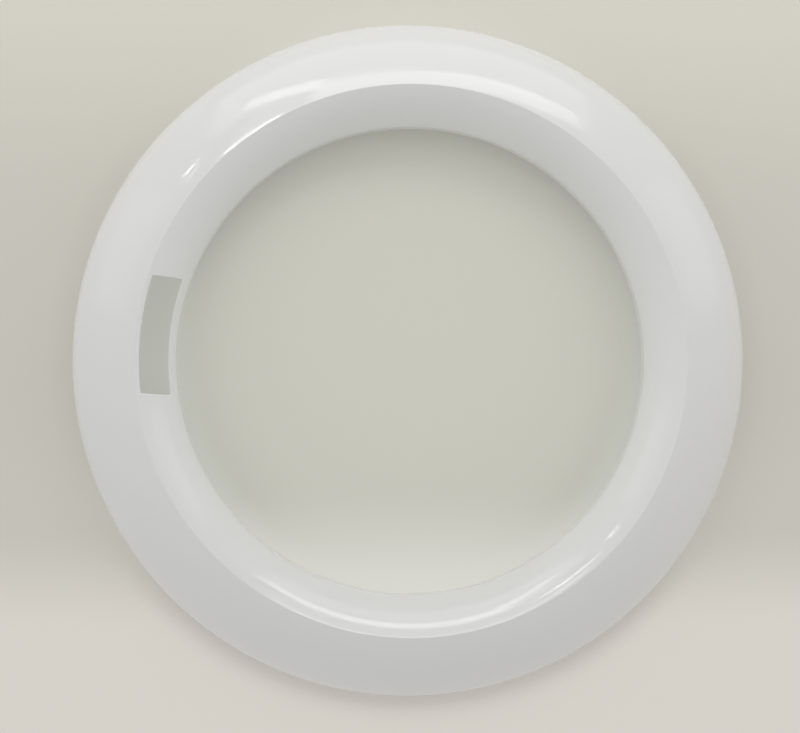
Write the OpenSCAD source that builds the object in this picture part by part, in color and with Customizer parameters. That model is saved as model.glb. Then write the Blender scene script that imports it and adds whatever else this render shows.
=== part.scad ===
// Outer trim ring of a front-loading washing machine door, moulded in one shot in white ABS.
// The ring lies face up on its rear rim: +Z is the door's outward axis, the origin is the centre
// of the rear rim plane, +Y is the top of the hung door and the hand-hold aperture is on -X.

/* [Ring] */
// Outside diameter of the rim
outer_d = 460; // [440:1:560]
// Diameter of the crest, the ridge between the crown and the funnel
crest_d = 363; // [350:1:375]
// Diameter of the glass opening
opening_d = 318; // [262:1:322]
// Height of the crest above the rear rim plane
depth = 44; // [40:1:54]
// Wall thickness of the shell
wall = 2.8; // [2:0.1:3.4]

/* [Front face] */
// Radius of the crown, the broad convex band outside the crest
crown_r = 95; // [80:1:140]
// Radius of the shoulder that rolls the crown over into the skirt
shoulder_r = 20; // [14:1:22]
// Radius of the convex funnel between the crest and the opening
funnel_r = 44; // [38:1:80]
// Rounding of the crest edge
crest_edge_r = 1; // [0.6:0.1:1.5]

/* [Rear edges] */
// Height of the straight skirt at the rim
skirt_h = 7; // [5:0.5:9]
// Width of the rim face that the ring rests on
rim_w = 1.6; // [1.2:0.1:1.9]
// Height of the rabbet that takes the rear frame's edge
rabbet_h = 3; // [2:0.5:4]
// Height of the opening's front edge above the rear rim plane
lip_h = 19; // [16:0.5:24]
// Height of the collar's rear edge, the seat of the glass flange
collar_h = 10; // [6:0.5:13]

/* [Handle aperture] */
// Length of the aperture between its parallel ends
aperture_l = 77; // [60:1:100]
// Width of shell left between the crest and the aperture, measured along the radius
aperture_outer_land = 2.6; // [2:0.1:5]
// Width of shell left between the aperture and the opening, measured along the radius
aperture_inner_land = 3.7; // [3.2:0.1:6]

/* [Screw bosses] */
// Number of screw bosses
boss_count = 8; // [8]
// Diameter of the circle that the screw bosses stand on
boss_pcd = 408; // [396:1:418]
// Outside diameter of a screw boss
boss_d = 9; // [7:0.5:11]
// Diameter of the pilot hole for a self-tapping screw
pilot_d = 3.4; // [2.5:0.1:4.2]
// Depth of the pilot hole
pilot_depth = 18; // [10:1:20]
// Height of the bosses' seats above the rear rim plane
boss_h = 3; // [1:0.5:8]

/* [Webs and ribs] */
// Thickness of the webs and ribs
rib_t = 1.8; // [1.2:0.1:2.4]
// Depth of the low ribs under the shell
rib_drop = 6; // [3:0.5:9]
// Number of low ribs that a full circle would have
rib_count = 24; // [24,48]
// Height above the rear rim plane where the webs through the bosses stop
web_h = 15; // [14:0.5:20]
// Reach of the short cross webs to each side of a boss
web_reach = 13; // [9:0.5:16]

/* [Handle cheeks] */
// Gap between each end of the aperture and the cheek beyond it
cheek_gap = 3; // [2:0.5:6]
// Thickness of a cheek
cheek_t = 2.4; // [1.8:0.1:3]
// Diameter of the handle's pivot pin
pivot_d = 4; // [3:0.5:5]
// Clearance of the pivot pin in its seat, on the diameter
pivot_play = 0.3; // [0.2:0.1:0.5]
// Distance of the pivot pin from the ring's axis
pivot_x = 203; // [198:1:208]
// Height of the pivot pin's axis above the rear rim plane
pivot_h = 17; // [15:0.5:20]

/* [Snap catches] */
// Number of catches around the skirt
catch_count = 8; // [4,8]
// Length of a catch along the skirt
catch_l = 10; // [6:1:14]
// Reach of a catch inwards from the skirt
catch_reach = 1.4; // [0.8:0.1:2]

/* [Hidden] */

// Sides of a full turn, on the ring and its arcs and on small round features
turn_fn = 180;
hole_fn = 48;
// Small length by which a cutter runs past the face that it cuts
past = 1;
// Length greater than the whole section, for regions of which only one edge matters
beyond = outer_d;
// A small arc is larger by this much where it runs into a big one, so that the two cross
graze = 0.002;

outer_r = outer_d / 2;
crest_r = crest_d / 2;
opening_r = opening_d / 2;
boss_r = boss_pcd / 2;
// The bosses stand between the catches, clear of the aperture and of the ring's axes
boss_turn = 180 / boss_count;
// Features sink this far into the shell that carries them
root = wall / 2;
// The cheeks stand beyond the aperture's two ends
cheek_y = aperture_l / 2 + cheek_gap + cheek_t / 2;
// Low ribs keep clear of the space between the cheeks
handle_half_angle = asin((cheek_y + cheek_t) / opening_r);
rib_spacing = 360 / rib_count;
catch_angle = 360 * catch_l / (PI * outer_d);
// A catch starts above the rabbet, and ends in a flat step below the shoulder
catch_foot = rabbet_h + 0.6;
catch_top = skirt_h - 0.2;
catch_land = 0.8;

// In section, in [radius, height], the front face is four arcs: the funnel rises from the lip to
// the crest, whose edge is rounded, and the crown falls from there to the shoulder and the skirt.

// The point where two circles meet, to the left of the line from centre a to centre b
function meet(a, ra, b, rb) =
    let (n = norm(b - a), along = (n * n + ra * ra - rb * rb) / (2 * n))
    a + (b - a) * along / n + [a[1] - b[1], b[0] - a[0]] * sqrt(ra * ra - along * along) / n;

function toward(from, to) = (to - from) / norm(to - from);

crest = [crest_r, depth];
lip = [opening_r, lip_h];
shoulder_c = [outer_r - shoulder_r, skirt_h];
// The crown passes through the crest and runs smoothly into the shoulder
crown_c = meet(shoulder_c, crown_r - shoulder_r, crest, crown_r);
// The funnel passes through the crest and the lip
funnel_c = meet(crest, funnel_r, lip, funnel_r);
edge_c = meet(crown_c, crown_r - crest_edge_r, funnel_c, funnel_r - crest_edge_r);

module disc(c, r) {
    translate(c) circle(r, $fn = turn_fn);
}

module inside_of(r) {
    translate([r - beyond, -past]) square([beyond, beyond]);
}

module outside_of(r) {
    translate([r, -past]) square([beyond, beyond]);
}

module below(h) {
    translate([0, h - beyond]) square([beyond, beyond]);
}

// The region behind the front face, set back by a distance, down to a height above the rear rim
// plane. Each arc bounds its own stretch of the section and lets the rest pass.
module behind(back, from_h) {
    ridge = meet(crown_c, crown_r - back, funnel_c, funnel_r - back);
    shoulder_start = crown_c + (crown_r - back) * toward(crown_c, shoulder_c);
    intersection() {
        translate([opening_r + back, from_h])
            square([outer_r - opening_r - 2 * back, beyond]);
        union() {
            disc(funnel_c, funnel_r - back);
            outside_of(ridge[0] + past);
            below(funnel_c[1]);
        }
        union() {
            disc(crown_c, crown_r - back);
            inside_of(ridge[0] - past);
        }
        union() {
            disc(shoulder_c, shoulder_r - back + graze);
            inside_of(shoulder_start[0]);
            below(skirt_h);
        }
    }
}

// The corner of the crest outside the rounding of its edge
module crest_corner() {
    side = 2 * crest_edge_r;
    difference() {
        polygon([
            edge_c,
            edge_c + side * toward(funnel_c, edge_c),
            crest + [0, side],
            edge_c + side * toward(crown_c, edge_c)
        ]);
        disc(edge_c, crest_edge_r + graze);
    }
}

// The shell is of one wall thickness, ends at the collar's rear edge and is stepped back at the rim
module shell_section() {
    difference() {
        behind(0, 0);
        crest_corner();
        behind(wall, -past);
        translate([opening_r - past, -past]) square([wall + 2 * past, collar_h + past]);
        translate([outer_r - wall - past, -past]) square([wall - rim_w + past, rabbet_h + past]);
    }
}

// A plate of even thickness that stands along a radius, from its outline in [radius, height]
module radial_plate(angle, thickness) {
    rotate([0, 0, angle]) rotate([90, 0, 0])
        linear_extrude(thickness, center = true) children();
}

module at_bosses() {
    for (i = [0:boss_count - 1])
        rotate([0, 0, boss_turn + i * 360 / boss_count]) translate([boss_r, 0, 0]) children();
}

// Bosses that run up into the crown
module boss_cores() {
    at_bosses() translate([0, 0, boss_h]) cylinder(h = depth, d = boss_d, $fn = hole_fn);
}

// Short webs across each boss that taper down from the crown and end inside the boss
module cross_webs() {
    at_bosses() rotate([90, 0, 90]) linear_extrude(rib_t, center = true)
        polygon([[-web_reach, depth], [-boss_d / 4, web_h], [boss_d / 4, web_h], [web_reach, depth]]);
}

// Full webs from the funnel to the skirt, one through each boss
module boss_webs() {
    for (i = [0:boss_count - 1])
        radial_plate(boss_turn + i * 360 / boss_count, rib_t) behind(root, web_h);
}

// Low ribs that follow the shell's underside from the funnel round to the skirt
module low_ribs() {
    for (i = [0:rib_count - 1])
        if (abs(i * rib_spacing - 180) > handle_half_angle)
            radial_plate(i * rib_spacing, rib_t) difference() {
                behind(root, web_h);
                behind(wall + rib_drop, web_h - past);
            }
}

// Two cheeks beyond the aperture's ends, notched from the rear for the handle's pivot pin
module handle_cheeks() {
    for (side = [-1, 1])
        translate([-outer_r, side * cheek_y - cheek_t / 2, collar_h])
            cube([outer_r, cheek_t, depth]);
}

module pivot_notches() {
    seat_d = pivot_d + pivot_play;
    across = 2 * (cheek_y + cheek_t);
    translate([-pivot_x, 0, pivot_h]) rotate([90, 0, 0])
        cylinder(h = across, d = seat_d, center = true, $fn = hole_fn);
    translate([-pivot_x - seat_d / 2, -across / 2, collar_h - past])
        cube([seat_d, across, pivot_h - collar_h + past]);
}

// Catches inside the skirt that rise to a flat step, which holds the rear frame's edge
module snap_catches() {
    wall_r = outer_r - wall;
    for (i = [0:catch_count - 1])
        rotate([0, 0, i * 360 / catch_count - catch_angle / 2])
            rotate_extrude(angle = catch_angle, start = 0, $fn = turn_fn)
                polygon([
                    [outer_r - root, catch_foot],
                    [wall_r, catch_foot],
                    [wall_r - catch_reach, catch_top - catch_land],
                    [wall_r - catch_reach, catch_top],
                    [outer_r - root, catch_top]
                ]);
}

// Two arcs about the ring's axis and two parallel ends bound the aperture, cut straight through
module aperture_cut() {
    intersection() {
        difference() {
            cylinder(h = beyond, r = crest_r - aperture_outer_land, $fn = turn_fn);
            translate([0, 0, -past])
                cylinder(h = beyond + 2 * past, r = opening_r + aperture_inner_land, $fn = turn_fn);
        }
        translate([-outer_r, -aperture_l / 2, collar_h])
            cube([outer_r, aperture_l, depth]);
    }
}

module pilot_holes() {
    at_bosses() translate([0, 0, boss_h - past])
        cylinder(h = pilot_depth + past, d = pilot_d, $fn = hole_fn);
}

module door_trim_ring() {
    color("white") difference() {
        union() {
            rotate_extrude($fn = turn_fn) shell_section();
            intersection() {
                rotate_extrude($fn = turn_fn) behind(root, boss_h);
                union() {
                    boss_cores();
                    cross_webs();
                    difference() {
                        handle_cheeks();
                        pivot_notches();
                    }
                }
            }
            boss_webs();
            low_ribs();
            snap_catches();
        }
        pilot_holes();
        aperture_cut();
    }
}

door_trim_ring();
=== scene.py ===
import math

import bpy
import numpy as np
from mathutils import Matrix, Vector


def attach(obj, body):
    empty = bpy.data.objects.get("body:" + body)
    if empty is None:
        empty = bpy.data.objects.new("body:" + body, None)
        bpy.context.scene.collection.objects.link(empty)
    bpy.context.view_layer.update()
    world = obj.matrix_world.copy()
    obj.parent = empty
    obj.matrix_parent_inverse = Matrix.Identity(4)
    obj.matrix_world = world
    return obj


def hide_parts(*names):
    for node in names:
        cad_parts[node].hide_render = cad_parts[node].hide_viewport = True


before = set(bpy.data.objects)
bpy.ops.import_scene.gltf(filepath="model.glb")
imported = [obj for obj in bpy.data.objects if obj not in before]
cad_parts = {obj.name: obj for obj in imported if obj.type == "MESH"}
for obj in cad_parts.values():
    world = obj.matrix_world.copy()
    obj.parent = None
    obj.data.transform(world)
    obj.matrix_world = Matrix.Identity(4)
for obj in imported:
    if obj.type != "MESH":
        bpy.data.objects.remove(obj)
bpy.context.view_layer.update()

# The wall of the moulding
# One shot of white ABS, 2.8 mm thick: the collar round the glass, the funnel, the crest, the broad
# crown, the shoulder and the skirt with its rabbet, turned about the door's axis. A side core of the
# mould leaves the hand-hold open in the funnel, between parallel ends.

MM = 0.001
opening_r, crest_r, outer_r = 159 * MM, 181.5 * MM, 230 * MM
depth, wall = 44 * MM, 2.8 * MM
crown_bend, shoulder_bend, funnel_bend = 95 * MM, 20 * MM, 44 * MM
skirt_h, rim_w, rabbet_h = 7 * MM, 1.6 * MM, 3 * MM
lip_h, collar_h = 19 * MM, 10 * MM
hold_half, hold_in, hold_out = 38.5 * MM, 162.7 * MM, 178.9 * MM
# The radii that the mould leaves on the edges
crest_edge, lip_edge, collar_edge, rim_edge, rabbet_edge = 1 * MM, 0.5 * MM, 0.6 * MM, 0.4 * MM, 0.2 * MM
hold_edge = 0.8 * MM
# Steps round the whole turn, and across half the hand-hold
turn_steps, hold_steps = 384, 14
# Nearer than this is the same place
NEAR = 0.001 * MM


def meet(a, ra, b, rb):
    """The point where two circles cross, to the left of the line from a to b."""
    n = (b - a).length
    along = (n * n + ra * ra - rb * rb) / (2 * n)
    side = Vector((a.y - b.y, b.x - a.x)) / n
    return a + (b - a) * along / n + side * math.sqrt(ra * ra - along * along)


def bearing(start, end):
    """The angle of the line from one point to another, in degrees."""
    return math.degrees(math.atan2(end.y - start.y, end.x - start.x))


def on_arc(centre, bend, angle):
    """The point of an arc at an angle in degrees."""
    return centre + bend * Vector((math.cos(math.radians(angle)), math.sin(math.radians(angle))))


def spread(first, last, count):
    """Even steps from first to last, without last."""
    return [first + (last - first) * i / count for i in range(count)]


# In section, in (radius, height), the face is four arcs about these centres, as in the CAD
crest, lip = Vector((crest_r, depth)), Vector((opening_r, lip_h))
shoulder_at = Vector((outer_r - shoulder_bend, skirt_h))
crown_at = meet(shoulder_at, crown_bend - shoulder_bend, crest, crown_bend)
funnel_at = meet(crest, funnel_bend, lip, funnel_bend)
crest_edge_at = meet(crown_at, crown_bend - crest_edge, funnel_at, funnel_bend - crest_edge)
lip_edge_at = Vector((opening_r + lip_edge, 0))
lip_edge_at.y = funnel_at.y + math.sqrt((funnel_bend - lip_edge) ** 2 - (lip_edge_at.x - funnel_at.x) ** 2)
shoulder_turn = bearing(crown_at, shoulder_at)


def ridge_behind(back):
    """Where the crown and the funnel meet, set back from the face by a distance."""
    return meet(crown_at, crown_bend - back, funnel_at, funnel_bend - back)


def funnel_angle(r, back):
    """The angle on the funnel's arc, set back by a distance, that stands over a radius."""
    return math.degrees(math.acos((r - funnel_at.x) / (funnel_bend - back)))


# Every stretch of the section is kept, so that the finished surface can be shaded as true arcs. The last
# number of a stretch says in how many steps it is drawn.
section_points, section_arcs, section_straights = [], [], []


def run_arc(centre, bend, angles, side=1):
    """Adds an arc's points. Side is 1 where the plastic lies inside the arc, -1 where it lies outside."""
    section_points.extend(on_arc(centre, bend, t) for t in angles)
    section_arcs.append((centre, bend, side))


def run_straight(start, end, steps=1):
    """Adds a straight's points, with the plastic to the right of its direction."""
    section_points.extend(start.lerp(end, t) for t in spread(0, 1, steps))
    along = (end - start).normalized()
    section_straights.append((start, end, Vector((-along.y, along.x))))


# Rows of points across the hand-hold stand at the same radii on the face and on the back
hold_rows = [on_arc(funnel_at, funnel_bend, t).x
             for t in spread(funnel_angle(hold_in, 0), funnel_angle(hold_out, 0), 12)] + [hold_out]
collar_in, skirt_in, rim_in = opening_r + wall, outer_r - wall, outer_r - rim_w
back_foot = on_arc(funnel_at, funnel_bend - wall, funnel_angle(collar_in, wall))
ridge = ridge_behind(wall)

# From the collar's rear edge over the face to the rim
run_straight(Vector((collar_in - collar_edge, collar_h)), Vector((opening_r + collar_edge, collar_h)))
run_arc(Vector((opening_r + collar_edge, collar_h + collar_edge)), collar_edge, spread(270, 180, 4))
run_straight(Vector((opening_r, collar_h + collar_edge)), Vector((opening_r, lip_edge_at.y)), 4)
run_arc(lip_edge_at, lip_edge, spread(180, bearing(funnel_at, lip_edge_at), 3))
run_arc(funnel_at, funnel_bend,
        spread(bearing(funnel_at, lip_edge_at), funnel_angle(hold_in, 0), 3)
        + [funnel_angle(r, 0) for r in hold_rows]
        + spread(funnel_angle(hold_out, 0), bearing(funnel_at, crest_edge_at), 2)[1:])
run_arc(crest_edge_at, crest_edge,
        spread(bearing(funnel_at, crest_edge_at), bearing(crown_at, crest_edge_at), 6))
run_arc(crown_at, crown_bend, spread(bearing(crown_at, crest_edge_at), shoulder_turn, 24))
run_arc(shoulder_at, shoulder_bend, spread(shoulder_turn, 0, 12))
run_straight(Vector((outer_r, skirt_h)), Vector((outer_r, rim_edge)), 3)
run_arc(Vector((outer_r - rim_edge, rim_edge)), rim_edge, spread(0, -90, 4))
# Along the rear, from the rim with its rabbet back to the collar
run_straight(Vector((outer_r - rim_edge, 0)), Vector((rim_in + rabbet_edge, 0)))
run_arc(Vector((rim_in + rabbet_edge, rabbet_edge)), rabbet_edge, spread(270, 180, 2))
run_straight(Vector((rim_in, rabbet_edge)), Vector((rim_in, rabbet_h)))
run_straight(Vector((rim_in, rabbet_h)), Vector((skirt_in, rabbet_h)))
run_straight(Vector((skirt_in, rabbet_h)), Vector((skirt_in, skirt_h)))
run_arc(shoulder_at, shoulder_bend - wall, spread(0, shoulder_turn, 8), -1)
run_arc(crown_at, crown_bend - wall, spread(shoulder_turn, bearing(crown_at, ridge), 16), -1)
run_arc(funnel_at, funnel_bend - wall,
        spread(bearing(funnel_at, ridge), funnel_angle(hold_out, wall), 2)
        + [funnel_angle(r, wall) for r in reversed(hold_rows)]
        + spread(funnel_angle(hold_in, wall), funnel_angle(collar_in, wall), 3)[1:], -1)
run_straight(back_foot, Vector((collar_in, collar_h + collar_edge)), 2)
run_arc(Vector((collar_in - collar_edge, collar_h + collar_edge)), collar_edge, spread(0, -90, 4))


def add(tree, kind, settings=None, links=None):
    """Adds a node. Settings are its properties; links give its inputs a value or a socket to follow."""
    node = tree.nodes.new(kind)
    for name, value in (settings or {}).items():
        setattr(node, name, value)
    for name, value in (links or {}).items():
        if isinstance(value, bpy.types.NodeSocket):
            tree.links.new(value, node.inputs[name])
        else:
            node.inputs[name].default_value = value
    return node


def maths(tree, operation, *values):
    """Adds a sum of numbers or sockets, and returns what it gives."""
    return add(tree, "ShaderNodeMath", {"operation": operation}, dict(enumerate(values))).outputs[0]


def vector_maths(tree, operation, *values):
    """Adds a sum of vectors or sockets, and returns the vector or number that it gives."""
    node = add(tree, "ShaderNodeVectorMath", {"operation": operation}, dict(enumerate(values)))
    return node.outputs["Value" if operation in ("LENGTH", "DOT_PRODUCT") else "Vector"]


def blend_over(tree, value, start, end, first=0.0, last=1.0, kind="SMOOTHSTEP"):
    """Adds a blend that gives the first number up to the start, and the last from the end on."""
    return add(tree, "ShaderNodeMapRange", {"interpolation_type": kind}, {
        "Value": value, "From Min": start, "From Max": end, "To Min": first, "To Max": last}).outputs[0]


def compare(tree, operation, a, b, within=NEAR):
    """Adds a test of two numbers, and returns its yes or no."""
    links = {"A": a, "B": b}
    if operation == "EQUAL":
        links["Epsilon"] = within
    return add(tree, "FunctionNodeCompare", {"operation": operation}, links).outputs[0]


def both(tree, a, b):
    """Adds a test that is true where both are."""
    return add(tree, "FunctionNodeBooleanMath", {"operation": "AND"}, {0: a, 1: b}).outputs[0]


def new_tree(name, inputs):
    """A geometry tree whose inputs are given as name: (socket type, value), and those inputs' sockets."""
    tree = bpy.data.node_groups.new(name, "GeometryNodeTree")
    tree.interface.new_socket("Geometry", in_out="INPUT", socket_type="NodeSocketGeometry")
    tree.interface.new_socket("Geometry", in_out="OUTPUT", socket_type="NodeSocketGeometry")
    for label, (kind, value) in inputs.items():
        socket = tree.interface.new_socket(label, in_out="INPUT", socket_type="NodeSocket" + kind)
        if kind != "Material":
            socket.default_value = value
    return tree, tree.nodes.new("NodeGroupInput").outputs


def end_tree(tree, made, material):
    """Ends a tree with plain geometry in one material."""
    made = add(tree, "GeometryNodeRealizeInstances", {}, {"Geometry": made.outputs[0]})
    made = add(tree, "GeometryNodeSetMaterial", {}, {"Geometry": made.outputs[0], "Material": material})
    add(tree, "NodeGroupOutput", {}, {"Geometry": made.outputs[0]})


def settle(piece):
    """Makes a piece's evaluated shape its own mesh, and takes its modifiers off."""
    bpy.context.view_layer.update()
    shape = bpy.data.meshes.new_from_object(piece.evaluated_get(bpy.context.evaluated_depsgraph_get()))
    piece.modifiers.clear()
    piece.data = shape


def apply_tree(piece, tree, **values):
    """Puts a tree on a piece with its inputs set, and makes what comes out the piece's own mesh."""
    modifier = piece.modifiers.new(tree.name, "NODES")
    modifier.node_group = tree
    sockets = {s.name: s.identifier for s in tree.interface.items_tree if s.in_out == "INPUT"}
    for name, value in values.items():
        modifier[sockets[name.replace("_", " ").capitalize()]] = value
    settle(piece)


def new_piece(name, points, faces=(), edges=()):
    """An object at the origin with a mesh of these points."""
    mesh = bpy.data.meshes.new(name)
    mesh.from_pydata(points, edges, faces)
    piece = bpy.data.objects.new(name, mesh)
    bpy.context.scene.collection.objects.link(piece)
    return piece


def linear_colour(code):
    """The linear colour, with full alpha, of an sRGB hex code."""
    parts = [int(code[i:i + 2], 16) / 255 for i in (0, 2, 4)]
    return [c / 12.92 if c <= 0.04045 else ((c + 0.055) / 1.055) ** 2.4 for c in parts] + [1.0]


# ABS, coloured in the pellet and shot against a polished mould: neutral white and glossy. The eye sees a
# faint orange peel and a slow sway in its reflections, and hair-fine flow marks that run out from the
# axis. The rear comes off spark-eroded steel, so it is duller and grained.
white, warm_white = "e3e4e4", "e3e2df"
abs_ior, gloss, flow_gloss, core_dulling = 1.53, 0.05, 0.08, 0.34
# Widths of the patterns and how deep they are. The peel and the grain are drawn coarse, to show at all.
cloud_w, flow_w, flow_l = 70 * MM, 2.4 * MM, 12 * MM
peel_w, peel_h = 2.2 * MM, 3 * MM * MM
sway_w, sway_h = 13 * MM, 26 * MM * MM
grain_w, grain_h = 0.7 * MM, 9 * MM * MM
flow_h = 1.2 * MM * MM
# The part of the flow marks' random pattern that is stretched to run from none to full
flow_from, flow_to = 0.35, 0.65

glossy_abs = bpy.data.materials.new("glossy_white_abs")
glossy_abs.use_nodes = True
shade = glossy_abs.node_tree
surface = shade.nodes["Principled BSDF"]
surface.inputs["IOR"].default_value = abs_ior
on_ring = add(shade, "ShaderNodeTexCoord").outputs["Object"]


def noise(tree, where, width, detail=0.0):
    """An even random pattern whose blobs are about as wide as given."""
    return add(tree, "ShaderNodeTexNoise", {},
               {"Vector": where, "Scale": 0.5 / width, "Detail": detail}).outputs[0]


def colour_mix(tree, share, first, last):
    """Adds a mix of two colours or sockets, which is the first where the share is 0."""
    return add(tree, "ShaderNodeMix", {"data_type": "RGBA"}, {0: share, 6: first, 7: last}).outputs[2]


# The flow marks depend only on the heading from the axis, and fade and start anew along it
outward = vector_maths(shade, "MULTIPLY", on_ring, (1, 1, 0))
slow = maths(shade, "MULTIPLY", vector_maths(shade, "LENGTH", outward), flow_w / flow_l)
slow = add(shade, "ShaderNodeCombineXYZ", {}, {"Z": slow}).outputs[0]
heading = vector_maths(shade, "NORMALIZE", outward)
heading = vector_maths(shade, "MULTIPLY", heading, (crest_r, crest_r, crest_r))
along_flow = vector_maths(shade, "ADD", heading, slow)
flow = blend_over(shade, noise(shade, along_flow, flow_w, 1.0), flow_from, flow_to, kind="LINEAR")
core_side = add(shade, "ShaderNodeAttribute", {"attribute_name": "core side"}).outputs["Fac"]
cloud = noise(shade, on_ring, cloud_w, 2.0)

tint = colour_mix(shade, cloud, linear_colour(white), linear_colour(warm_white))
shade.links.new(tint, surface.inputs["Base Color"])
dull = maths(shade, "MULTIPLY_ADD", flow, flow_gloss, gloss)
dull = maths(shade, "MULTIPLY_ADD", core_side, core_dulling, dull)
shade.links.new(dull, surface.inputs["Roughness"])

relief = maths(shade, "MULTIPLY", noise(shade, on_ring, peel_w, 1.0), peel_h)
relief = maths(shade, "MULTIPLY_ADD", noise(shade, on_ring, sway_w), sway_h, relief)
relief = maths(shade, "MULTIPLY_ADD", flow, flow_h, relief)
grain = maths(shade, "MULTIPLY", noise(shade, on_ring, grain_w, 1.0), core_side)
relief = maths(shade, "MULTIPLY_ADD", grain, grain_h, relief)
bumps = add(shade, "ShaderNodeBump", {}, {"Height": relief, "Distance": 1.0, "Strength": 1.0}).outputs[0]
shade.links.new(bumps, surface.inputs["Normal"])

# The tree sweeps the section round the axis, moves its columns onto the hand-hold's parallel ends,
# leaves the hand-hold's faces out, and walls it straight down from the face to the back
turning, given = new_tree("turned wall", {
    "Steps": ("Int", turn_steps), "Rail radius": ("Float", crest_r),
    "Hold half": ("Float", hold_half), "Hold angle": ("Float", 0.0),
    "Hold in": ("Float", hold_in), "Hold out": ("Float", hold_out),
    "Material": ("Material", None)})
rail = add(turning, "GeometryNodeCurvePrimitiveCircle", {},
           {"Resolution": given["Steps"], "Radius": given["Rail radius"]})
rail = add(turning, "GeometryNodeSetCurveNormal", {"mode": "Z_UP"}, {"Curve": rail.outputs[0]})
outline = add(turning, "GeometryNodeMeshToCurve", {}, {"Mesh": given["Geometry"]})
swept = add(turning, "GeometryNodeCurveToMesh", {},
            {"Curve": rail.outputs[0], "Profile Curve": outline.outputs[0]})

place = add(turning, "GeometryNodeInputPosition").outputs[0]
flat = vector_maths(turning, "MULTIPLY", place, (-1, -1, 0))
radius = vector_maths(turning, "LENGTH", flat)
across = add(turning, "ShaderNodeSeparateXYZ", {}, {0: flat}).outputs
# Angles are taken from the middle of the hand-hold
angle = maths(turning, "ARCTAN2", across[1], across[0])
turned_by = maths(turning, "ABSOLUTE", angle)
held = add(turning, "ShaderNodeClamp", {},
           {"Value": radius, "Min": given["Hold in"], "Max": given["Hold out"]}).outputs[0]
hold_end = maths(turning, "ARCSINE", maths(turning, "DIVIDE", given["Hold half"], held))
from_end = maths(turning, "ABSOLUTE", maths(turning, "SUBTRACT", turned_by, given["Hold angle"]))
share = blend_over(turning, from_end, 0.0, given["Hold angle"], 1.0, 0.0, "LINEAR")
shift = maths(turning, "MULTIPLY", maths(turning, "SUBTRACT", hold_end, given["Hold angle"]), share)
shift = maths(turning, "MULTIPLY", shift, maths(turning, "SIGN", angle))
turned = add(turning, "ShaderNodeVectorRotate", {"rotation_type": "Z_AXIS"},
             {"Vector": place, "Angle": shift})
fitted = add(turning, "GeometryNodeSetPosition", {},
             {"Geometry": swept.outputs[0], "Position": turned.outputs[0]})

mid_hold = maths(turning, "MULTIPLY", maths(turning, "ADD", given["Hold in"], given["Hold out"]), 0.5)
hold_reach = maths(turning, "SUBTRACT", given["Hold out"], mid_hold)
in_band = compare(turning, "EQUAL", radius, mid_hold, hold_reach)
in_hold = both(turning, in_band, compare(turning, "LESS_THAN", turned_by, hold_end))
opened = add(turning, "GeometryNodeDeleteGeometry", {"domain": "FACE"},
             {"Geometry": fitted.outputs[0], "Selection": in_hold})

drop = add(turning, "GeometryNodeInputNamedAttribute", {"data_type": "FLOAT"}, {"Name": "drop"}).outputs[0]
neighbours = add(turning, "GeometryNodeInputMeshEdgeNeighbors").outputs[0]
bare = add(turning, "FunctionNodeCompare", {"data_type": "INT", "operation": "EQUAL"},
           {"A": neighbours, "B": 1}).outputs[0]
bare_face = both(turning, bare, compare(turning, "GREATER_THAN", drop, 0.0))
walled = add(turning, "GeometryNodeExtrudeMesh", {"mode": "EDGES"},
             {"Mesh": opened.outputs[0], "Selection": bare_face, "Offset Scale": 0.0})
fall = add(turning, "ShaderNodeCombineXYZ", {}, {"Z": maths(turning, "MULTIPLY", drop, -1.0)}).outputs[0]
walled = add(turning, "GeometryNodeSetPosition", {},
             {"Geometry": walled.outputs["Mesh"], "Selection": walled.outputs["Top"], "Offset": fall})
closed = add(turning, "GeometryNodeMergeByDistance", {},
             {"Geometry": walled.outputs[0], "Distance": 2 * NEAR})

# The hand-hold's edges, folded by more than this many degrees, are marked for a small radius
SHARP_FOLD, hold_margin = 50, 0.4 * MM
fold = add(turning, "GeometryNodeInputMeshEdgeAngle").outputs[0]
sharp = compare(turning, "GREATER_THAN", fold, math.radians(SHARP_FOLD))
at_hold = compare(turning, "EQUAL", radius, mid_hold, maths(turning, "ADD", hold_reach, hold_margin))
marked = add(turning, "GeometryNodeStoreNamedAttribute", {"data_type": "FLOAT", "domain": "EDGE"},
             {"Geometry": closed.outputs[0], "Selection": both(turning, sharp, at_hold),
              "Name": "bevel_weight_edge", "Value": 1.0})
end_tree(turning, marked, given["Material"])

# A profile's own Y points down where the sweep places it
moulding = new_piece("trim_ring_moulding", [(p.x - crest_r, -p.y, 0) for p in section_points],
                     edges=[(i, (i + 1) % len(section_points)) for i in range(len(section_points))])
# How far below each row of the hand-hold's face its back lies
drops = moulding.data.attributes.new("drop", "FLOAT", "POINT")
for point, value in zip(section_points, drops.data):
    on_funnel = abs((point - funnel_at).length - funnel_bend) < NEAR
    if on_funnel and hold_in - NEAR < point.x < hold_out + NEAR:
        value.value = point.y - on_arc(funnel_at, funnel_bend - wall, funnel_angle(point.x, wall)).y
apply_tree(moulding, turning, hold_angle=2 * math.pi * hold_steps / turn_steps, material=glossy_abs)


def round_edges(piece, width, segments):
    """Rounds a piece's marked edges."""
    edges = piece.modifiers.new("mould radius", "BEVEL")
    edges.limit_method, edges.width, edges.segments = "WEIGHT", width, segments
    settle(piece)


round_edges(moulding, hold_edge, 3)

# The screw bosses and their webs
# Eight bosses stand on the crown's rear for the self-tapping screws of the rear frame. Each is cored
# by a pin and held by a full web along the radius and a short one across it, all of the same shot.

boss_count, boss_ring, boss_r, boss_h = 8, 204 * MM, 4.5 * MM, 3 * MM
pilot_r, pilot_depth, boss_edge = 1.7 * MM, 18 * MM, 0.3 * MM
boss_steps, pilot_steps = 48, 32
rib_t, web_h, web_reach, web_foot = 1.8 * MM, 15 * MM, 13 * MM, 2.25 * MM
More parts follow.
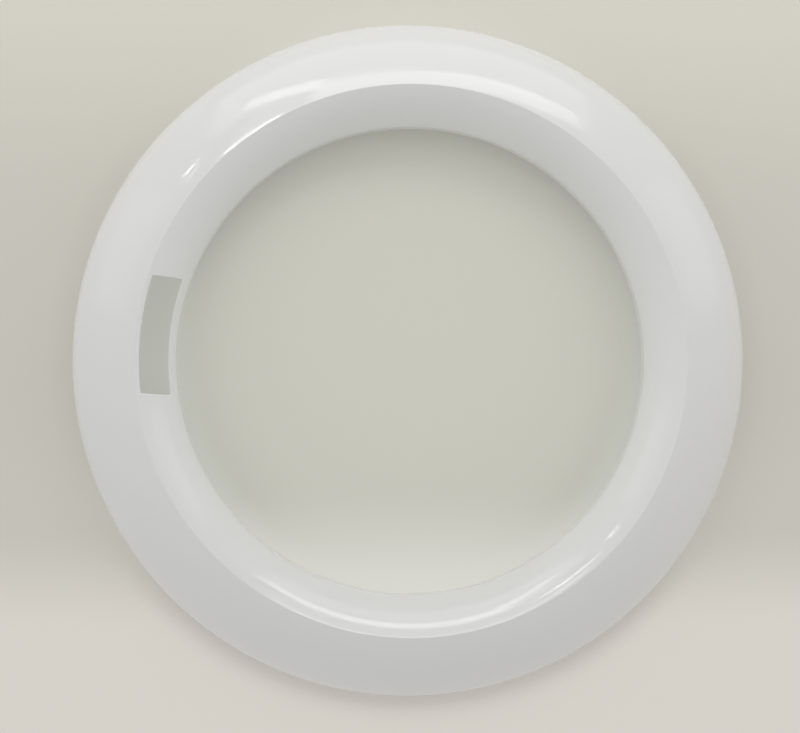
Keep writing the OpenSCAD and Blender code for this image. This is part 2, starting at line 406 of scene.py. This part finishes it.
# Features sink to the middle of the wall, and run past what they cut by a little
root, past = wall / 2, 1 * MM
# Free edges of webs and ribs are rounded
rib_edge = 0.35 * MM


def under_face(back, low):
    """The face's outline set back by a distance, from the collar over to where it falls to a height."""
    top = ridge_behind(back)
    fall_end = math.degrees(math.asin((low - shoulder_at.y) / (shoulder_bend - back)))
    funnel_start = funnel_angle(opening_r + back, back)
    stretches = ((funnel_at, funnel_bend - back, funnel_start, bearing(funnel_at, top), 10),
                 (crown_at, crown_bend - back, bearing(crown_at, top), shoulder_turn, 20),
                 (shoulder_at, shoulder_bend - back, shoulder_turn, fall_end, 8))
    line = [on_arc(centre, bend, t) for centre, bend, first, last, count in stretches
            for t in spread(first, last, count)]
    return line + [on_arc(shoulder_at, shoulder_bend - back, fall_end)]


def face_height(r, back):
    """The height of the crown set back by a distance, over a radius."""
    return crown_at.y + math.sqrt((crown_bend - back) ** 2 - (r - crown_at.x) ** 2)


def plate(name, line, free, thickness, offset=0.0):
    """A plate of even thickness that stands along +X at an offset in Y, from its outline in (X, height).

    The first points of the outline, as many as free says, lie along the plate's free edge."""
    n = len(line)
    points = [(p.x, offset + s * thickness / 2, p.y) for s in (1, -1) for p in line]
    faces = [tuple(range(n)), tuple(range(2 * n - 1, n - 1, -1))]
    faces += [((i + 1) % n, i, n + i, n + (i + 1) % n) for i in range(n)]
    piece = new_piece(name, points, faces)
    weights = piece.data.attributes.new("bevel_weight_edge", "FLOAT", "EDGE")
    for edge, weight in zip(piece.data.edges, weights.data):
        a, b = (v % n for v in edge.vertices)
        weight.value = float(abs(a - b) == 1 and max(a, b) < free)
    return piece


def lathe(name, line, centre_x, steps):
    """A solid turned about an upright line at centre_x, from its outline in (distance, height)."""
    points, faces, rings = [], [], []
    turns = spread(0, 2 * math.pi, steps)
    for distance, height in line:
        rings.append([len(points) + k for k in range(steps)])
        points += [(centre_x + distance * math.cos(t), distance * math.sin(t), height) for t in turns]
    for low_ring, high_ring in zip(rings, rings[1:]):
        faces += [(low_ring[k - 1], low_ring[k], high_ring[k], high_ring[k - 1]) for k in range(steps)]
    faces += [tuple(reversed(rings[0])), tuple(rings[-1])]
    return new_piece(name, points, faces)


setting, given = new_tree("set round the ring", {
    "Count": ("Int", 8), "First angle": ("Float", 0.0), "Handle gap": ("Float", 0.0),
    "Material": ("Material", None)})
spots = add(setting, "GeometryNodePoints", {}, {"Count": given["Count"]})
spacing = maths(setting, "DIVIDE", 2 * math.pi, given["Count"])
number = add(setting, "GeometryNodeInputIndex").outputs[0]
angle = maths(setting, "MULTIPLY_ADD", number, spacing, given["First angle"])
turn = add(setting, "FunctionNodeAxisAngleToRotation", {}, {"Axis": (0, 0, 1), "Angle": angle}).outputs[0]
from_hold = maths(setting, "ABSOLUTE", maths(setting, "SUBTRACT", angle, math.pi))
clear = compare(setting, "GREATER_EQUAL", from_hold, given["Handle gap"])
placed = add(setting, "GeometryNodeInstanceOnPoints", {}, {
    "Points": spots.outputs[0], "Selection": clear, "Instance": given["Geometry"], "Rotation": turn})
end_tree(setting, placed, given["Material"])


def combine(piece, other, operation="UNION"):
    """Joins another piece to this one, or cuts it out, and drops the other."""
    joint = piece.modifiers.new(operation, "BOOLEAN")
    joint.operation, joint.solver, joint.object = operation, "MANIFOLD", other
    settle(piece)
    bpy.data.objects.remove(other)


first_boss = math.pi / boss_count
core = lathe("boss", [(boss_r - boss_edge, boss_h), (boss_r, boss_h + boss_edge),
                      (boss_r, face_height(boss_ring + boss_r, root))], boss_ring, boss_steps)
for vertex in core.data.vertices:
    if vertex.co.z > web_h:
        vertex.co.z = face_height(math.hypot(vertex.co.x, vertex.co.y), root)
web_top = under_face(root, web_h)
collar_foot = Vector((opening_r + root, web_h))
web = plate("boss_web", [web_top[-1], collar_foot] + web_top[:-1], 2, rib_t)
cross_top = face_height(boss_ring, root)
reach_at_top = web_foot + (web_reach - web_foot) * (cross_top - web_h) / (depth - web_h)
cross = plate("cross_web", [Vector((reach_at_top, cross_top)), Vector((web_foot, web_h)),
                            Vector((-web_foot, web_h)), Vector((-reach_at_top, cross_top))], 4, rib_t)
cross.data.transform(Matrix.Translation((boss_ring, 0, 0)) @ Matrix.Rotation(math.pi / 2, 4, "Z"))
for group in (web, cross):
    round_edges(group, rib_edge, 2)
for group in (core, web, cross):
    apply_tree(group, setting, count=boss_count, first_angle=first_boss, material=glossy_abs)
    combine(moulding, group)

# The low ribs
# Between the webs, low ribs every 15 degrees follow the rear of the wall from the collar to the
# shoulder and keep it from warping. They stop short of the space that the handle swings in.

rib_count, rib_drop = 24, 6 * MM
cheek_y, cheek_t = 42.7 * MM, 2.4 * MM
handle_gap = math.asin((cheek_y + cheek_t) / opening_r)
rib_line = under_face(wall + rib_drop, web_h)[::-1]
rib_line = [web_top[-1]] + rib_line + [Vector((rib_line[-1].x, web_h)), collar_foot]
rib = plate("low_rib", rib_line + web_top[:-1], len(rib_line), rib_t)
round_edges(rib, rib_edge, 2)
apply_tree(rib, setting, count=rib_count, first_angle=0.0, handle_gap=handle_gap, material=glossy_abs)
combine(moulding, rib)

# The handle's cheeks
# Two upright plates beyond the hand-hold's ends carry the handle's pivot pin, which snaps in from the
# rear through a notch with a half-round seat.

pin_x, pin_h, seat_r = 203 * MM, 17 * MM, 2.15 * MM
# The cheeks stop just inside the collar's rear edge
cheek_h = collar_h + 0.1 * MM


def along_cheek(r):
    """How far along the cheek's plane its middle crosses a radius."""
    return math.sqrt(r * r - cheek_y * cheek_y)


cheek_top = under_face(root, cheek_h)
notch = [Vector((pin_x + seat_r, cheek_h))]
notch += [on_arc(Vector((pin_x, pin_h)), seat_r, t) for t in spread(0, 180, 16)]
notch += [Vector((pin_x - seat_r, pin_h)), Vector((pin_x - seat_r, cheek_h))]
cheek_line = [Vector((along_cheek(cheek_top[-1].x), cheek_h))] + notch
cheek_line += [Vector((along_cheek(opening_r + root), cheek_h))]
cheek_line += [Vector((along_cheek(p.x), p.y)) for p in cheek_top[:-1]]
for side in (1, -1):
    cheek = plate("cheek", cheek_line, len(notch) + 2, cheek_t, -side * cheek_y)
    cheek.data.transform(Matrix.Rotation(math.pi, 4, "Z"))
    round_edges(cheek, rib_edge, 2)
    combine(moulding, cheek)

# The snap catches
# Eight short wedges inside the skirt spring over the rear frame's edge and hold it at a flat step.

catch_count, catch_l, catch_reach = 8, 10 * MM, 1.4 * MM
catch_foot, catch_land = rabbet_h + 0.6 * MM, 0.8 * MM
catch_top = skirt_h - 0.2 * MM
catch_section = [(outer_r - root, catch_foot), (skirt_in, catch_foot),
                 (skirt_in - catch_reach, catch_top - catch_land), (skirt_in - catch_reach, catch_top),
                 (outer_r - root, catch_top)]
catch_angle = catch_l / outer_r
catch_turns = [-catch_angle / 2 + t for t in spread(0, catch_angle, 4)] + [catch_angle / 2]
sides = len(catch_section)
catch_points = [(r * math.cos(t), r * math.sin(t), h) for t in catch_turns for r, h in catch_section]
catch_faces = [(k + i, k + (i + 1) % sides, k + sides + (i + 1) % sides, k + sides + i)
               for k in range(0, len(catch_points) - sides, sides) for i in range(sides)]
catch_faces += [tuple(reversed(range(sides))), tuple(range(len(catch_points) - sides, len(catch_points)))]
catch = new_piece("catch", catch_points, catch_faces)
apply_tree(catch, setting, count=catch_count, first_angle=0.0, material=glossy_abs)
combine(moulding, catch)

# The pilot holes
# Each boss is cored 3.4 mm across for a self-tapping screw of 4 mm, with a small lead-in at its mouth.

pilot = lathe("pilot", [(pilot_r + boss_edge + past, boss_h - past), (pilot_r, boss_h + boss_edge),
                        (pilot_r, boss_h + pilot_depth)], boss_ring, pilot_steps)
apply_tree(pilot, setting, count=boss_count, first_angle=first_boss, material=glossy_abs)
combine(moulding, pilot, "DIFFERENCE")

# The finished moulding
# Polished mould steel leaves true arcs, so the flats between the mesh's points are shaded by the
# section's own arcs and straights, and only real edges stay crisp.

# Folds sharper than this stay crisp. A corner is on a stretch of the section if it is this near to it, and
# its face is turned from the stretch by less than this.
CREASE, ON_SECTION, SAME_SIDE = math.radians(40), 0.05 * MM, math.cos(math.radians(25))
# How many of the section's stretches, from the first, are shot against the polished half of the mould
SHOW_STRAIGHTS, SHOW_ARCS = 3, 7


def read_all(items, attribute, width=1, kind=float):
    """An attribute of all of a mesh's parts, one row for each."""
    values = np.empty(len(items) * width, dtype=kind)
    items.foreach_get(attribute, values)
    return values.reshape(-1, width) if width > 1 else values


mesh = moulding.data
mesh.polygons.foreach_set("use_smooth", [True] * len(mesh.polygons))
mesh.set_sharp_from_angle(angle=CREASE)
corner_spots = read_all(mesh.vertices, "co", 3)[read_all(mesh.loops, "vertex_index", kind=np.int64)]
normals = read_all(mesh.corner_normals, "vector", 3)
face_normals = np.repeat(read_all(mesh.polygon_normals, "vector", 3),
                         read_all(mesh.polygons, "loop_total", kind=np.int64), axis=0)
corner_r, corner_h = np.hypot(corner_spots[:, 0], corner_spots[:, 1]), corner_spots[:, 2]
corner_heading = corner_spots[:, :2] / corner_r[:, None]
# The hand-hold's walls are polished too
rear = ((corner_r < hold_in - hold_edge) | (corner_r > hold_out + hold_edge)
        | (np.abs(corner_spots[:, 1]) > hold_half + hold_edge) | (corner_spots[:, 0] > 0)).astype(float)


def shade_by(near, out_part, up_part, shown):
    """Gives the corners that lie on a stretch of the section its true normal, if they face its way."""
    true = np.column_stack([corner_heading * out_part[:, None], up_part])
    same = near & ((true * face_normals).sum(axis=1) > SAME_SIDE)
    normals[same] = true[same]
    if shown:
        rear[same] = 0.0


for number, (start, end, facing) in enumerate(section_straights):
    along = (end - start).normalized()
    way = (corner_r - start.x) * along.x + (corner_h - start.y) * along.y
    off = np.abs((corner_r - start.x) * facing.x + (corner_h - start.y) * facing.y)
    near = (off < ON_SECTION) & (way > -ON_SECTION) & (way < (end - start).length + ON_SECTION)
    shade_by(near, np.full(len(way), facing.x), np.full(len(way), facing.y), number < SHOW_STRAIGHTS)
for number, (centre, bend, side) in enumerate(section_arcs):
    out_by, up_by = corner_r - centre.x, corner_h - centre.y
    away = np.hypot(out_by, up_by)
    away[away == 0] = 1.0
    near = np.abs(away - bend) < ON_SECTION
    shade_by(near, side * out_by / away, side * up_by / away, number < SHOW_ARCS)
mesh.attributes.new("core side", "FLOAT", "CORNER").data.foreach_set("value", rear)
mesh.normals_split_custom_set(normals.tolist())

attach(moulding, "root")
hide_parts("door_trim_ring")

# The camera
# It looks at the ring from the front and is turned a little, at the photograph's distance and lens.

scene = bpy.context.scene
scene.view_settings.view_transform = "Standard"
camera_roll = math.radians(5.866)
camera_yaw, camera_pitch = math.radians(-2.195), math.radians(-0.517)
camera_at = (-36.59 * MM, -0.45 * MM, 758.51 * MM)
lens = bpy.data.cameras.new("camera")
lens.sensor_width, lens.lens, lens.clip_start, lens.clip_end = 36.0, 49.18, 0.01, 50.0
camera = bpy.data.objects.new("camera", lens)
camera.matrix_world = (Matrix.Translation(camera_at) @ Matrix.Rotation(camera_roll, 4, "Z")
                       @ Matrix.Rotation(camera_yaw, 4, "Y") @ Matrix.Rotation(camera_pitch, 4, "X"))
scene.collection.objects.link(camera)
scene.camera = camera

# The floor
# A matt pale board, greenish grey, and lighter and warmer towards the picture's foot. A share of what is
# seen of it is its own even colour, which glows, and the rest takes the lamps' light and the ring's shadow.
# The glowing share is larger in some places than in others, and there it paints light into the ring's
# shadow.

floor_half, floor_drop = 3.0, 0.05 * MM
# How far down the picture the board turns to its colours at the foot, and how much sooner in the opening
foot_start, foot_end, foot_sooner = 112 * MM, 190 * MM, 28 * MM
# The opening with a margin, the band beneath the ring's wall, and the width of the shadow beside the rim
opening_reach, wall_middle, wall_reach, shadow_w = opening_r + 5 * MM, 196 * MM, 31 * MM, 24 * MM
# Where the floor in the opening turns to what it is at the edge
edge_start, edge_end = opening_r - 20 * MM, opening_r + 3 * MM
# Shares of the even colour at the head, at the foot, at the foot in the opening, beneath the wall, and
# beside the rim but for the foot, and what the opening's edge loses of it towards the head
# Every share is painted light in the ring's shadow; the larger ones, at the foot, in the opening, beneath
# the wall and beside the rim, take out more of it
head_share, foot_share, inside_share, wall_share, rim_share = 0.25, 0.8, 1.0, 0.65, 0.55
edge_loss = 0.33
# Around the ring the even colour is brighter at the head and darker beside the ring, down to mid height;
# the darkening beside the ring is painted shade of the ring
lift_start, lift_end, lift_gone = -260 * MM, -100 * MM, 120 * MM
head_lift, painted_side_shade = 0.25, -0.14


def part_way(tree, share, a, b):
    """Adds a mix of two numbers or sockets, which is the first where the share is 0."""
    return maths(tree, "MULTIPLY_ADD", share, maths(tree, "SUBTRACT", b, a), a)


floor = new_piece("floor", [(x * floor_half, y * floor_half, -floor_drop)
                            for x, y in ((-1, -1), (1, -1), (1, 1), (-1, 1))], [(0, 1, 2, 3)])
board = bpy.data.materials.new("matt_painted_board")
board.use_nodes = True
paint = board.node_tree
paint.nodes.remove(paint.nodes["Principled BSDF"])
on_floor = add(paint, "ShaderNodeTexCoord").outputs["Object"]
to_foot = (math.sin(camera_roll), -math.cos(camera_roll), 0)
downward = vector_maths(paint, "DOT_PRODUCT", on_floor, to_foot)
from_axis = vector_maths(paint, "LENGTH", on_floor)
inside = maths(paint, "LESS_THAN", from_axis, opening_reach)
ringed = maths(paint, "LESS_THAN", from_axis, outer_r)
outside = maths(paint, "SUBTRACT", 1.0, ringed)
uphill = maths(paint, "DIVIDE", maths(paint, "MULTIPLY", downward, -1.0), from_axis)
downward = maths(paint, "MULTIPLY_ADD", inside, foot_sooner, downward)
foot = blend_over(paint, downward, foot_start, foot_end)

# Towards the foot, and most of all in the opening, the glowing share is painted light that takes out most
# of the ring's shadow
even = part_way(paint, foot, head_share, part_way(paint, inside, foot_share, inside_share))
# Beside the rim the ring's shadow shows in full at the foot, and elsewhere the glowing share paints it
# lighter
by_rim = blend_over(paint, from_axis, outer_r, outer_r + shadow_w, 1.0, 0.0)
by_rim = maths(paint, "MULTIPLY", by_rim, outside)
even = part_way(paint, by_rim, even, part_way(paint, foot, rim_share, 0.0))
# In the opening a larger glowing share paints the ring's shadow lighter at the edge, most of all at the
# foot
by_edge = maths(paint, "MULTIPLY", blend_over(paint, from_axis, edge_start, edge_end), inside)
at_edge = maths(paint, "MAXIMUM", maths(paint, "MULTIPLY_ADD", uphill, -edge_loss, wall_share), even)
even = part_way(paint, by_edge, even, at_edge)
# Beneath the ring's wall, seen through the hand-hold, the glowing share paints light into the ring's shadow
even = part_way(paint, maths(paint, "COMPARE", from_axis, wall_middle, wall_reach), even, wall_share)

# Brighter towards the head, and darkened beside the ring by painted shade
lift_and_painted_shade = blend_over(paint, downward, lift_start, lift_end, head_lift, painted_side_shade)
lift_and_painted_shade = maths(paint, "MULTIPLY", lift_and_painted_shade, blend_over(paint, downward, 0.0, lift_gone, 1.0, 0.0))
lift_and_painted_shade = maths(paint, "MULTIPLY_ADD", lift_and_painted_shade, outside, 1.0)


def by_place(around, beneath):
    """A colour around the ring and one beneath it, each with its turn from the head to the foot. The one
    beneath is a little bluer, and lighter as painted light against the ring's shadow within its outline.
    """
    around, beneath = (colour_mix(paint, foot, linear_colour(head), linear_colour(tail))
                       for head, tail in (around, beneath))
    return colour_mix(paint, ringed, around, beneath)


def seen_ray(tree):
    """1 for the rays that show a thing to the eye, straight or mirrored, and 0 for those that light."""
    ray = add(tree, "ShaderNodeLightPath").outputs
    mirrored = maths(tree, "MAXIMUM", ray["Is Glossy Ray"], ray["Is Transmission Ray"])
    return maths(tree, "MAXIMUM", ray["Is Camera Ray"], mirrored)


# Within the ring's outline the board is painted lighter, to make up for the ring's shadow there
lit = add(paint, "ShaderNodeBsdfDiffuse", {},
          {"Color": by_place(("dcd9ce", "efeae2"), ("dfdfd2", "f2f0e7"))}).outputs[0]
plain = add(paint, "ShaderNodeEmission", {},
            {"Color": by_place(("c9c7bd", "d7d2ca"), ("c9cac1", "d9d8d0")), "Strength": lift_and_painted_shade}).outputs[0]
painted = add(paint, "ShaderNodeMixShader", {},
              {0: maths(paint, "MULTIPLY", even, seen_ray(paint)), 1: lit, 2: plain}).outputs[0]
paint.links.new(painted, paint.nodes["Material Output"].inputs["Surface"])
floor.data.materials.append(board)

# The lamps
# Soft light comes from the picture's foot and sides, and from two banks of lamps beyond its head. Long
# lamps near the head draw the bright bands on the crown and in the funnel, and small ones the short
# streaks. What the gloss mirrors, and what is seen behind the floor from low down, is an even pale grey.

foot_light, left_light, right_light, mirrored_level = 0.57, 1.04, 0.96, 0.6
ring_middle = (0.0, 0.0, 0.03)

world = bpy.data.worlds.new("studio")
world.use_nodes = True
sky = world.node_tree
sky.nodes["Background"].inputs["Color"].default_value = linear_colour("ffffff")
scene.world = world
facing = add(sky, "ShaderNodeTexCoord").outputs["Generated"]
to_right = (math.cos(camera_roll), math.sin(camera_roll), 0)
to_left = (-to_right[0], -to_right[1], 0)
level = 0.0
for direction, strength in ((to_foot, foot_light), (to_left, left_light), (to_right, right_light)):
    toward = maths(sky, "MAXIMUM", vector_maths(sky, "DOT_PRODUCT", facing, direction), 0.0)
    level = maths(sky, "MULTIPLY_ADD", toward, strength, level)
level = part_way(sky, seen_ray(sky), level, mirrored_level)
sky.links.new(level, sky.nodes["Background"].inputs["Strength"])


def lamp(name, place, size, watts, aim=ring_middle):
    """An area lamp at a place to the right, towards the picture's head, and above the floor."""
    light = bpy.data.lights.new(name, "AREA")
    light.shape, light.energy = "RECTANGLE", watts
    light.size, light.size_y = size
    holder = bpy.data.objects.new(name, light)
    at = Vector(place)
    back = (at - Vector(aim)).normalized()
    level_axis = Vector((back.y, -back.x, 0)).normalized()
    axes = Matrix((level_axis, back.cross(level_axis), back)).transposed().to_4x4()
    holder.matrix_world = Matrix.Rotation(camera_roll, 4, "Z") @ Matrix.Translation(at) @ axes
    holder.visible_camera = False
    scene.collection.objects.link(holder)


lamp("far_bank", (0.0, 2.6, 1.0), (4.0, 1.6), 17.9)
lamp("high_bank", (0.0, 1.5, 1.5), (2.0, 1.0), 4.4)
lamp("low_left", (-1.7, 0.7, 0.7), (0.8, 1.2), 1.15)
lamp("low_right", (1.7, 0.7, 0.7), (0.8, 1.2), 1.5)
lamp("long_lamp", (0.22, 0.85, 0.66), (0.96, 0.21), 1.5, (0.33, 0.0, 0.03))
lamp("long_lamp_left", (-0.49, 1.05, 0.6), (0.56, 0.14), 0.62, (-1.15, 0.03, 0.03))
lamp("funnel_strip", (0.0, 0.7, 1.19), (1.0, 0.04), 0.6)
lamp("crest_lamp", (-0.645, 1.0, 1.22), (0.3, 0.03), 0.55)
lamp("twin_lamp_low", (-1.85, 1.71, 1.77), (0.16, 0.05), 0.5)
lamp("twin_lamp_high", (-1.75, 1.58, 1.96), (0.13, 0.03), 0.16)
